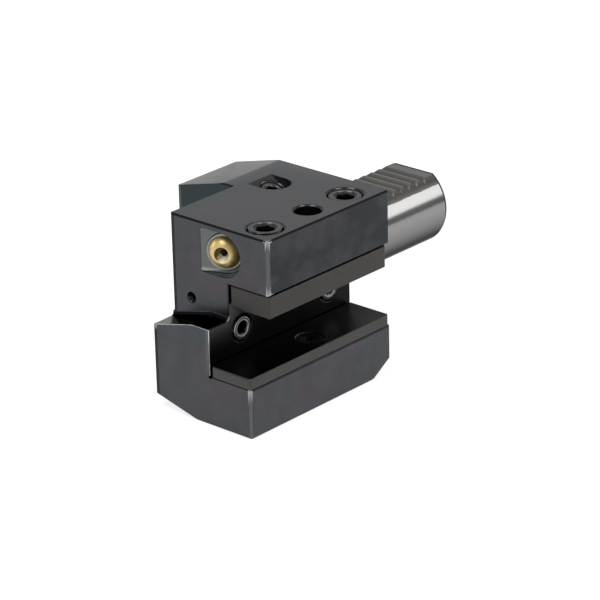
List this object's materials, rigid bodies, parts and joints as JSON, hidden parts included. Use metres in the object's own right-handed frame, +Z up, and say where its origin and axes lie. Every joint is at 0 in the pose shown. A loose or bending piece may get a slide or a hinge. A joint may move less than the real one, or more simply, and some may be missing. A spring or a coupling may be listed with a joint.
{
  "type": "axial tool holder",
  "caption": "Axial turret tool holder: toothed round shank, stepped block with an open tool slot, screw-clamped bar, support plate, stop screws and swivelling coolant nozzle.",
  "frame": {"origin": "on the shank's axis, in the plane of the contact face", "axes": "+Y along the shank, away from the block; +X towards the open side of the tool slot; +Z up, from the support plate to the clamping screws"},
  "size_m": [0.0695, 0.125, 0.0664],
  "materials": {
    "body_steel": "hardened, ground and blackened, satin; the shank's round surface is ground bright",
    "bar_steel": "blackened, ground matt",
    "plate_steel": "hardened and ground, dark",
    "screw_steel": "black oxide",
    "stop_steel": "worn black oxide with bright rims",
    "spring_steel": "drawn spring wire",
    "ring_steel": "turned",
    "nozzle_brass": "turned, polished",
    "seal_rubber": "matt"
  },
  "bodies": {
    "holder": {"body": "body_steel", "support_plate": "plate_steel", "support_plate_screw": "screw_steel", "bar_spring": "spring_steel", "nozzle_ring": "ring_steel", "nozzle_seal": "seal_rubber", "top_outlet_plug": "screw_steel", "duct_plug": "screw_steel", "shank_seal_ring": "seal_rubber"},
    "bar": {"clamping_bar": "bar_steel", "bar_retaining_screw": "screw_steel"},
    "front_clamp": {"front_clamping_screw": "screw_steel"},
    "rear_clamp": {"rear_clamping_screw": "screw_steel"},
    "front_stop": {"front_stop_screw": "stop_steel"},
    "rear_stop": {"rear_stop_screw": "stop_steel"},
    "nozzle": {"nozzle_ball": "nozzle_brass"}
  },
  "joints": [
    {"name": "bar_slide", "type": "slide", "parent": "holder", "child": "bar", "axis": [0, 0, -1], "range_m": [0, 0.0022], "stiffness_N_per_m": 3000, "springref_m": -0.003, "deforming": ["bar_spring"]},
    {"name": "front_clamp_feed", "type": "slide", "parent": "holder", "child": "front_clamp", "axis": [0, 0, -1], "range_m": [0, 0.003]},
    {"name": "rear_clamp_feed", "type": "slide", "parent": "holder", "child": "rear_clamp", "axis": [0, 0, -1], "range_m": [0, 0.0022]},
    {"name": "front_stop_feed", "type": "slide", "parent": "holder", "child": "front_stop", "axis": [1, 0, 0], "range_m": [0, 0.004]},
    {"name": "rear_stop_feed", "type": "slide", "parent": "holder", "child": "rear_stop", "axis": [1, 0, 0], "range_m": [0, 0.004]},
    {"name": "nozzle_swivel", "type": "hinge", "parent": "holder", "child": "nozzle", "pos_m": [0.01219, -0.05501, 0.0184], "axis": [0, 0, 1], "range_deg": [-15, 15]}
  ],
  "couplings": [
    {"joint": "front_clamp_feed", "follows": "bar_slide", "ratio": 1.3636},
    {"joint": "rear_clamp_feed", "follows": "bar_slide", "ratio": 1}
  ]
}
